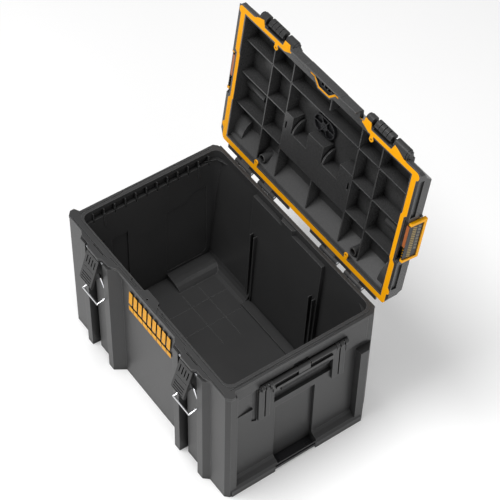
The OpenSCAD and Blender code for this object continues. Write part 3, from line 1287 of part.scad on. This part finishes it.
side_z0 = edge_z + side_lift;
side_z1 = side_z0 + side_height;
module side_frame() {
  difference() {
    union() {
      difference() {
        block(face_x - side_skin, face_x, -side_front, side_back, side_z0, side_z1);
        block(face_x - side_skin - cut, face_x + cut, -side_front + side_border, side_back - side_border,
          side_z0 - cut, side_z1 - side_border);
      }
      rod_y(2 * side_pin_radius, -side_front, side_back, side_axis_x, side_axis_z);
      block(side_axis_x, face_x - side_skin + cut, -side_front, side_back,
        side_axis_z - 2 * side_pin_radius, side_axis_z + 2 * side_pin_radius);
    }
    rod_y(side_pin_radius + run_play, -side_front - cut, side_back + cut, side_axis_x, side_axis_z);
  }
}
lip_x = face_x - side_border / 3;
module latch_face() {
  difference() {
    block(face_x - side_skin, lip_x, -side_front + side_border, side_back - side_border,
      side_z0 + side_border, side_z1 - side_border);
    block(side_axis_x, face_x - side_skin + cut, -side_front, side_back,
      side_axis_z - 2 * side_pin_radius, side_axis_z + 2 * side_pin_radius);
    rod_y(2 * side_pin_radius, -side_front, side_back, side_axis_x, side_axis_z);
  }
  // thin lip and small bars below the face, in front of the hook
  block(lip_x - comb_rib * 0.75, lip_x, -side_front + side_border, side_back - side_border,
    side_z0, side_z0 + side_border + cut);
  for (y = [0.3:0.15:0.75]) block(face_x - side_skin + cut, lip_x, side_back * y,
    side_back * y + comb_rib, side_z0, side_z0 + side_border + cut);
}
// the hook that catches the bar of a box standing on the lid
module latch_hook() {
  block(side_axis_x - side_pin_radius, lip_x - comb_rib * 0.75, -side_front * 0.8, side_back * 0.25,
    side_z0, side_axis_z - 2.4 * side_pin_radius);
}
module side_latch_right() { color([0.98, 0.78, 0.1]) lid_pose() side_frame(); }
module side_latch_left() { color([0.98, 0.78, 0.1]) lid_pose() mirror_x() side_frame(); }
module latch_face_right() { color([0.1, 0.1, 0.11]) lid_pose() latch_face(); }
module latch_face_left() { color([0.1, 0.1, 0.11]) lid_pose() mirror_x() latch_face(); }
module latch_hook_right() { color([0.9, 0.45, 0.15]) lid_pose() latch_hook(); }
module latch_hook_left() { color([0.9, 0.45, 0.15]) lid_pose() mirror_x() latch_hook(); }
module side_latch_pins() {
  color([0.75, 0.76, 0.78]) lid_pose() both()
    rod_y(side_pin_radius, -side_front - side_gap * 4 - cut, side_back + side_gap * 4 + cut,
      side_axis_x, side_axis_z);
}

tub_shell();
stacking_bars();
hinge_rods();
lever_pins();
handle_rods();
handle_bracket_left();
handle_bracket_right();
side_handle_left();
side_handle_right();
handle_grip_left();
handle_grip_right();
latch_lever_left();
latch_lever_right();
wire_bail_left();
wire_bail_right();
lid_shell();
lid_ribs();
lid_seal();
lid_catch_left();
lid_catch_right();
vent_lattice();
side_latch_left();
side_latch_right();
latch_face_left();
latch_face_right();
latch_hook_left();
latch_hook_right();
side_latch_pins();
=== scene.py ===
"""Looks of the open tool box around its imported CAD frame. Lengths are in metres."""
import json
import math

import bpy
from mathutils import Matrix, Vector


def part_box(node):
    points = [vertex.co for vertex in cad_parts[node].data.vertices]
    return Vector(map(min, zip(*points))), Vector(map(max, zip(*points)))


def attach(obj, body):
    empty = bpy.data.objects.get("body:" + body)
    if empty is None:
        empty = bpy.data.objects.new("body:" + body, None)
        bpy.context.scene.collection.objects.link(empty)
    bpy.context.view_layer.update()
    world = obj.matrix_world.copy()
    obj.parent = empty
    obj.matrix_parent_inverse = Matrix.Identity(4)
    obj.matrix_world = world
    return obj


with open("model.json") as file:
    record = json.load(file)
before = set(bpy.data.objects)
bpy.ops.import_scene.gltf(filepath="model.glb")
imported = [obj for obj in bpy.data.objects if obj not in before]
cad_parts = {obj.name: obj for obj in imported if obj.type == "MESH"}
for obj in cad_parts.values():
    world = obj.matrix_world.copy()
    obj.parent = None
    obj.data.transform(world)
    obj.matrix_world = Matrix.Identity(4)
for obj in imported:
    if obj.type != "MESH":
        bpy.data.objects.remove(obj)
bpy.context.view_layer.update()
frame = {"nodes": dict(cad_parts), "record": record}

NODES = frame["nodes"]

# ---------------------------------------------------------------- camera and light

LOOK_RIGHT = Vector((0.5802959, 0.8142137, 0.0176840))
LOOK_UP = Vector((-0.6271311, 0.4328969, 0.6475391))
LOOK_FORWARD = Vector((-0.5195799, 0.3868544, -0.7618270))
EYE = Vector((1.750663, -1.239084, 2.882231))
LENS_MM = 125.617
SENSOR_MM = 36.0
VIEW_LIMIT = 50.0

WORLD_STRENGTH = 0.42
WHITE = (1.0, 1.0, 1.0, 1.0)
# name, place, target, size and power in watts of each square lamp
LAMPS = (
    ("key", (-0.2, -0.7, 3.1), (0.0, 0.0, 0.2), 1.2, 66.0),
    ("fill", (-0.7, -2.6, 2.6), (0.0, 0.1, 0.5), 1.6, 5.0),
    ("edge", (2.6, -0.4, 1.8), (0.0, 0.0, 0.3), 1.2, 20.0),
)


def add_camera():
    data = bpy.data.cameras.new("photo_camera")
    cam = bpy.data.objects.new("photo_camera", data)
    bpy.context.collection.objects.link(cam)
    turn = Matrix((LOOK_RIGHT, LOOK_UP, -LOOK_FORWARD)).transposed()
    cam.matrix_world = Matrix.Translation(EYE) @ turn.to_4x4()
    data.sensor_width = SENSOR_MM
    data.lens = LENS_MM
    data.clip_end = VIEW_LIMIT
    bpy.context.scene.camera = cam


def add_area(name, place, target, size, power):
    data = bpy.data.lights.new(name, "AREA")
    data.shape = "RECTANGLE"
    data.size = data.size_y = size
    data.energy = power
    lamp = bpy.data.objects.new(name, data)
    bpy.context.collection.objects.link(lamp)
    lamp.location = place
    aim = Vector(target) - Vector(place)
    lamp.rotation_euler = aim.to_track_quat("-Z", "Y").to_euler()


def add_world(strength):
    world = bpy.data.worlds.new("studio")
    bpy.context.scene.world = world
    world.use_nodes = True
    back = world.node_tree.nodes["Background"]
    back.inputs["Color"].default_value = WHITE
    back.inputs["Strength"].default_value = strength


# ---------------------------------------------------------------- materials

FINE_DETAIL = 3.0
CLOUD_SCALE, CLOUD_DETAIL = 9.0, 4.0
CLOUD_ENDS = (0.3, 0.7)
BUMP_DEPTH = 0.0004
BEVEL_SAMPLES = 4
# cosines between face and rounded normal where the painted highlight on an edge begins and is full
EDGE_FROM, EDGE_FULL = 0.99, 0.80
# share of the painted highlight in the mix, and how much lighter than the base it is
EDGE_SHARE = 0.9
EDGE_PALE = 0.16
# painted shade in gaps and corners, and how open a place has to be: full painted shade, no painted
# shade, and the painted highlight's first and full strength
NOOK_SAMPLES = 6
NOOK_DEPTH = 0.022
NOOK_SHADE = 0.12
NOOK_CLOSED, NOOK_OPEN = 0.15, 0.75
LINE_CLOSED, LINE_OPEN = 0.6, 0.9
# numbered sockets of the Mix node when it mixes colours
MIX_FACTOR, MIX_FIRST, MIX_SECOND, MIX_RESULT = 0, 6, 7, 2


def new_material(name):
    mat = bpy.data.materials.new(name)
    mat.use_nodes = True
    tree = mat.node_tree
    shader = tree.nodes["Principled BSDF"]
    return mat, tree, shader


def noise(tree, scale, detail):
    coord = tree.nodes.new("ShaderNodeTexCoord")
    node = tree.nodes.new("ShaderNodeTexNoise")
    node.inputs["Scale"].default_value = scale
    node.inputs["Detail"].default_value = detail
    tree.links.new(coord.outputs["Object"], node.inputs["Vector"])
    return node.outputs["Fac"]


def ranged(tree, source, low=0.0, high=1.0, to_low=0.0, to_high=1.0):
    node = tree.nodes.new("ShaderNodeMapRange")
    node.inputs["From Min"].default_value = low
    node.inputs["From Max"].default_value = high
    node.inputs["To Min"].default_value = to_low
    node.inputs["To Max"].default_value = to_high
    tree.links.new(source, node.inputs["Value"])
    return node.outputs["Result"]


def multiply(tree, first):
    """Multiply node with its first factor linked; the second is set or linked by the caller."""
    node = tree.nodes.new("ShaderNodeMath")
    node.operation = "MULTIPLY"
    tree.links.new(first, node.inputs[0])
    return node


def cloudy_colour(tree, base, spread):
    """Base colour with a soft cloudy change."""
    ramp = tree.nodes.new("ShaderNodeValToRGB")
    stops = ramp.color_ramp.elements
    for stop, place, sign in zip(stops, CLOUD_ENDS, (-1.0, 1.0)):
        stop.position = place
        stop.color = (*[min(1.0, max(0.0, c * (1.0 + sign * spread))) for c in base], 1.0)
    tree.links.new(noise(tree, CLOUD_SCALE, CLOUD_DETAIL), ramp.inputs["Fac"])
    return ramp.outputs["Color"]


def painted_highlight_and_shade(tree, shader, colour, base, rounded, shine):
    """Colour with painted highlights as thin pale lines on open rounded edges, and painted shade
    that makes gaps and corners darker and duller.
    """
    nodes, links = tree.nodes, tree.links
    # painted highlight: where the rounded normal turns away from the face, an open edge gets a pale
    # line
    face = nodes.new("ShaderNodeNewGeometry")
    turn = nodes.new("ShaderNodeVectorMath")
    turn.operation = "DOT_PRODUCT"
    links.new(rounded, turn.inputs[0])
    links.new(face.outputs["Normal"], turn.inputs[1])
    line = ranged(tree, turn.outputs["Value"], EDGE_FROM, EDGE_FULL, to_high=EDGE_SHARE)
    # painted shade: ambient occlusion darkens the colour in gaps and corners and dims the shine
    # there too
    nook = nodes.new("ShaderNodeAmbientOcclusion")
    nook.samples = NOOK_SAMPLES
    nook.inputs["Distance"].default_value = NOOK_DEPTH
    dark = ranged(tree, nook.outputs["AO"], NOOK_CLOSED, NOOK_OPEN, to_low=NOOK_SHADE)
    shade = nodes.new("ShaderNodeVectorMath")
    shade.operation = "SCALE"
    links.new(colour, shade.inputs[0])
    links.new(dark, shade.inputs["Scale"])
    open_line = multiply(tree, line)
    links.new(ranged(tree, nook.outputs["AO"], LINE_CLOSED, LINE_OPEN), open_line.inputs[1])
    gleam = multiply(tree, dark)
    gleam.inputs[1].default_value = shine
    links.new(gleam.outputs["Value"], shader.inputs["Specular IOR Level"])
    # the painted highlight is mixed over the colour with its painted shade
    blend = nodes.new("ShaderNodeMix")
    blend.data_type = "RGBA"
    links.new(open_line.outputs["Value"], blend.inputs[MIX_FACTOR])
    links.new(shade.outputs["Vector"], blend.inputs[MIX_FIRST])
    blend.inputs[MIX_SECOND].default_value = (*[min(1.0, c + EDGE_PALE) for c in base], 1.0)
    return blend.outputs[MIX_RESULT]


def grain(tree, shader, base, spread, scale, bump, rough, rough_spread, edge, shine):
    """Moulded surface: fine grain in the normal, soft cloudy change in colour and gloss; with an
    edge radius, also painted highlights on edges and painted shade in gaps and corners.
    """
    links = tree.links
    fine = noise(tree, scale, FINE_DETAIL)
    gloss = ranged(tree, fine, to_low=rough - rough_spread, to_high=rough + rough_spread)
    links.new(gloss, shader.inputs["Roughness"])
    relief = tree.nodes.new("ShaderNodeBump")
    relief.inputs["Strength"].default_value = bump
    relief.inputs["Distance"].default_value = BUMP_DEPTH
    links.new(fine, relief.inputs["Height"])
    links.new(relief.outputs["Normal"], shader.inputs["Normal"])
    colour = cloudy_colour(tree, base, spread)
    # painted highlights on rounded edges and painted shade in gaps and corners
    if edge > 0.0:
        soft = tree.nodes.new("ShaderNodeBevel")
        soft.samples = BEVEL_SAMPLES
        soft.inputs["Radius"].default_value = edge
        links.new(soft.outputs["Normal"], relief.inputs["Normal"])
        colour = painted_highlight_and_shade(tree, shader, colour, base, soft.outputs["Normal"], shine)
    links.new(colour, shader.inputs["Base Color"])


def plastic(name, base, spread=0.08, scale=900.0, bump=0.25, rough=0.55, rough_spread=0.06,
            edge=0.0008, shine=0.5):
    mat, tree, shader = new_material(name)
    shader.inputs["Specular IOR Level"].default_value = shine
    grain(tree, shader, base, spread, scale, bump, rough, rough_spread, edge, shine)
    return mat


def metal(name, base, rough, spread=0.05, scale=300.0, bump=0.05, rough_spread=0.04):
    mat, tree, shader = new_material(name)
    grain(tree, shader, base, spread, scale, bump, rough, rough_spread, 0.0, 0.5)
    shader.inputs["Metallic"].default_value = 1.0
    return mat


GREY_SHELL = plastic("grey_shell_mat", (0.040, 0.040, 0.0404), rough=0.34, edge=0.0012,
                     shine=0.27)
# the lid shell's own copy of the grey plastic, a little lighter and glossier than the tub's; the
# lighter colour is painted light that makes up for light the open lid gets less of
GREY_LID = plastic("grey_lid_mat", (0.042, 0.042, 0.0424), rough=0.28, edge=0.0012, shine=0.50)
GREY_MOVING = plastic("grey_moving_mat", (0.028, 0.028, 0.0283), rough=0.32, edge=0.0009,
                      shine=0.38)
GREY_RIBS = plastic("grey_ribs_mat", (0.036, 0.036, 0.0364), rough=0.27, edge=0.0010, shine=0.50)
BLACK = plastic("black_plastic_mat", (0.012, 0.012, 0.014), rough=0.45)
RUBBER = plastic("grip_rubber_mat", (0.005, 0.005, 0.0055), scale=500.0, bump=0.5, rough=0.7)
SEAL = plastic("yellow_seal_mat", (0.94, 0.40, 0.001), spread=0.05, rough=0.6, bump=0.1,
               shine=0.12)
YELLOW = plastic("yellow_plastic_mat", (0.94, 0.42, 0.001), spread=0.05, rough=0.45, bump=0.1,
                 shine=0.18)
AMBER = plastic("amber_plastic_mat", (0.42, 0.12, 0.03), spread=0.1, rough=0.45, bump=0.1)
WIRE = metal("bright_wire_mat", (0.86, 0.87, 0.89), 0.18)
STEEL = metal("steel_mat", (0.5, 0.51, 0.53), 0.35)

GREY_MARK = plastic("grey_mark_mat", (0.15, 0.14, 0.11), spread=0.04, rough=0.5, bump=0.1)
HATCH = plastic("hatch_mat", (0.36, 0.25, 0.07), spread=0.04, rough=0.5, bump=0.1)

FINISH = {
    "grey_shell": GREY_SHELL, "grey_moving": GREY_MOVING, "grey_ribs": GREY_RIBS,
    "black_plastic": BLACK, "grip_rubber": RUBBER, "yellow_seal": SEAL,
    "yellow_plastic": YELLOW, "amber_plastic": AMBER, "bright_wire": WIRE, "steel": STEEL,
}


def dress_nodes():
    slots = {part["node"]: part["material_slot"] for part in frame["record"]["subparts"]}
    for name, obj in NODES.items():
        # the lid shell takes the lighter copy of the grey plastic, a painted lift in place of light
        mat = GREY_LID if name == "lid_shell" else FINISH[slots[name]]
        obj.data.materials.clear()
        obj.data.materials.append(mat)


# ---------------------------------------------------------------- marks

LID_TURN = math.radians(-97.6)
HINGE = Vector((0.0, 0.1785, 0.325))
MARK_THICKNESS = 0.0002

# the front field lies this far behind the ribs, and its marks just above it
FIELD_SETBACK = 0.0225
MARK_GAP = 0.00005
BADGE_X = (-0.071, 0.076)
BADGE_COUNT = 9
# lower and upper height, share of a bar in its step, and lean of each row of bars
BADGE_ROWS = ((0.247, 0.286, 0.72, 0.004), (0.227, 0.240, 0.9, 0.0))

LATCH_FACE_X = 0.27502
LATCH_LEAN = 0.003
# heights, ends along y, number of stripes, share of a stripe in its step, and finish
LATCH_ROWS = (
    (0.3402, 0.3498, -0.039, 0.039, 17, 0.55, HATCH),
    (0.3532, 0.3606, -0.039, 0.024, 8, 0.7, GREY_MARK),
)


def lid_place(point):
    """A point of the closed lid where the open lid carries it."""
    turn = Matrix.Rotation(LID_TURN, 4, "X")
    return turn @ (Vector(point) - HINGE) + HINGE


def make_piece(name, points, faces, mat, body):
    mesh = bpy.data.meshes.new(name)
    mesh.from_pydata([tuple(p) for p in points], [], faces)
    mesh.update()
    obj = bpy.data.objects.new(name, mesh)
    bpy.context.collection.objects.link(obj)
    obj.data.materials.append(mat)
    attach(obj, body)
    return obj


def plate(corners, off):
    """Closed thin plate: four corners in order, and the step from its back to its front."""
    low = [Vector(c) for c in corners]
    high = [c + Vector(off) for c in low]
    faces = [(3, 2, 1, 0), (4, 5, 6, 7)]
    faces += [(i, (i + 1) % 4, 4 + (i + 1) % 4, 4 + i) for i in range(4)]
    return low + high, faces


def plates(name, sets, off, mat, body):
    points, faces = [], []
    for corners in sets:
        p, f = plate(corners, off)
        faces += [tuple(i + len(points) for i in face) for face in f]
        points += p
    return make_piece(name, points, faces, mat, body)


def bars(start, end, count, share):
    """Both ends of each bar in an even row."""
    step = (end - start) / count
    firsts = [start + i * step for i in range(count)]
    return [(a, a + step * share) for a in firsts]


def badge_field():
    """Plain slanted bars over a row of plain blocks, where the front carries a printed mark."""
    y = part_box("tub_shell")[0][1] + FIELD_SETBACK + MARK_GAP
    sets = []
    for z0, z1, share, lean in BADGE_ROWS:
        for a, b in bars(*BADGE_X, BADGE_COUNT, share):
            sets.append([(a, y, z0), (b, y, z0), (b + lean, y, z1), (a + lean, y, z1)])
    plates("badge_bars", sets, (0.0, -MARK_THICKNESS, 0.0), YELLOW, "tub")


def side_latch_stripes():
    """Plain slanted stripes in two rows on the black faces of the side latches."""
    for side, sign in (("left", -1.0), ("right", 1.0)):
        x = sign * LATCH_FACE_X
        for k, (z0, z1, y0, y1, count, share, mat) in enumerate(LATCH_ROWS):
            sets = []
            for a, b in bars(y0, y1, count, share):
                corners = ((x, a, z0), (x, b, z0), (x, b + LATCH_LEAN, z1), (x, a + LATCH_LEAN, z1))
                sets.append([lid_place(c) for c in corners])
            plates("latch_stripes_%s_%d" % (side, k + 1), sets, (sign * MARK_THICKNESS, 0.0, 0.0),
                   mat, "stack_latch_" + side)


# ---------------------------------------------------------------- floor

FLOOR_SIZE = 12.0
FLOOR_Z = -0.0005
FLOOR_COLOUR = (0.90, 0.90, 0.90, 1.0)
FLOOR_ROUGH = 0.9
FLOOR_GLOW = 0.12


def add_floor():
    bpy.ops.mesh.primitive_plane_add(size=FLOOR_SIZE, location=(0.0, 0.0, FLOOR_Z))
    floor = bpy.context.object
    floor.name = "floor"
    mat, tree, shader = new_material("pale_floor_mat")
    shader.inputs["Base Color"].default_value = FLOOR_COLOUR
    shader.inputs["Roughness"].default_value = FLOOR_ROUGH
    shader.inputs["Emission Color"].default_value = WHITE
    shader.inputs["Emission Strength"].default_value = FLOOR_GLOW
    floor.data.materials.append(mat)


dress_nodes()
badge_field()
side_latch_stripes()
add_floor()
add_world(WORLD_STRENGTH)
for lamp in LAMPS:
    add_area(*lamp)
add_camera()
bpy.context.scene.view_settings.view_transform = "Standard"
